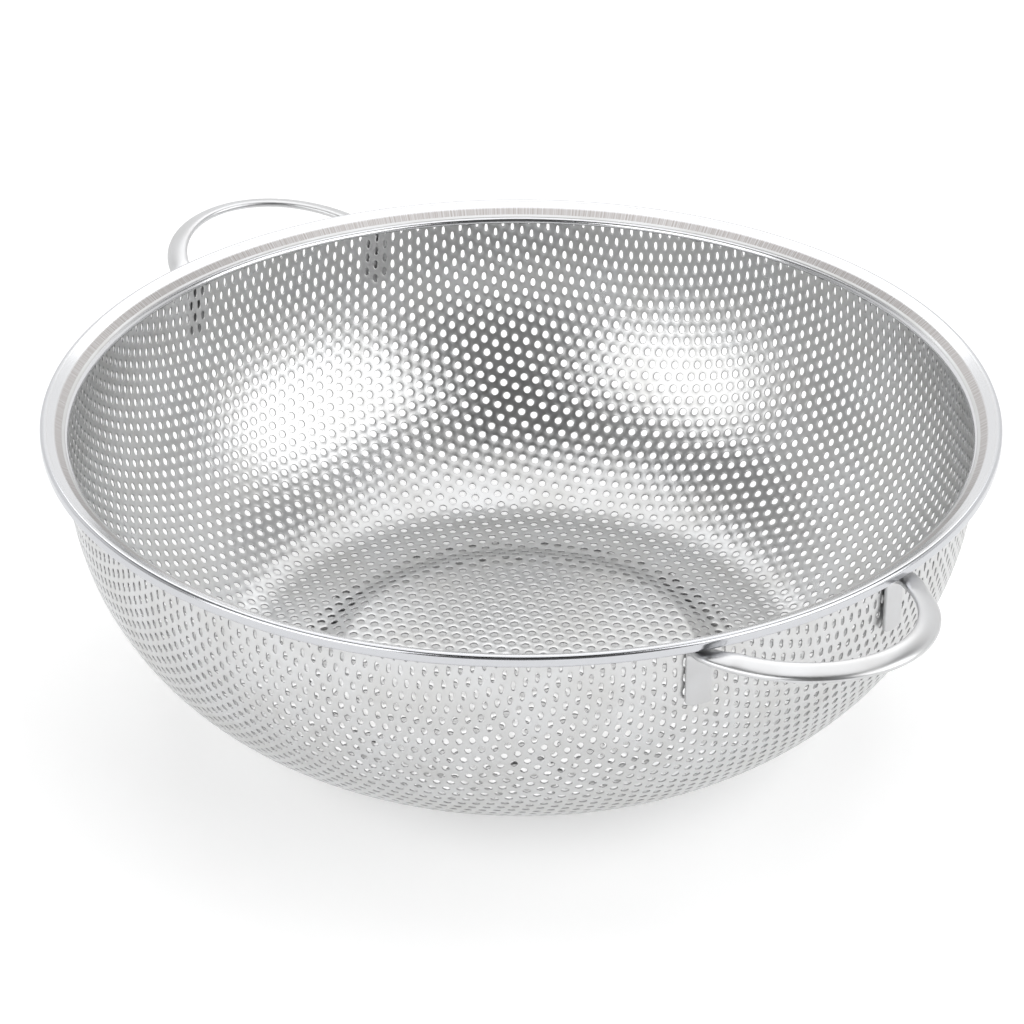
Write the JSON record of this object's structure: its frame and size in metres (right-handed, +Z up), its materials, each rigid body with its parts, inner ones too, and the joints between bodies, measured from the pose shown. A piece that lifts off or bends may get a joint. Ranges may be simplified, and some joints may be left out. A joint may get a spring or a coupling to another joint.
{
  "type": "colander",
  "caption": "Perforated stainless steel colander with a rolled rim, loop handles and a foot ring under a raised base disc.",
  "frame": {"origin": "centre of the plane that the foot ring stands on", "axes": "+Z up through the bowl's mouth, X through the two handles, Y across the bowl between them"},
  "size_m": [0.348, 0.285, 0.0957],
  "materials": {
    "bowl_steel": "bright satin",
    "rim_steel": "polished",
    "handle_steel": "polished, tabs brushed",
    "foot_steel": "satin"
  },
  "bodies": {
    "root": {"perforated_bowl": "bowl_steel", "rim_ring": "rim_steel", "right_handle": "handle_steel", "left_handle": "handle_steel", "foot_ring": "foot_steel"}
  },
  "joints": []
}
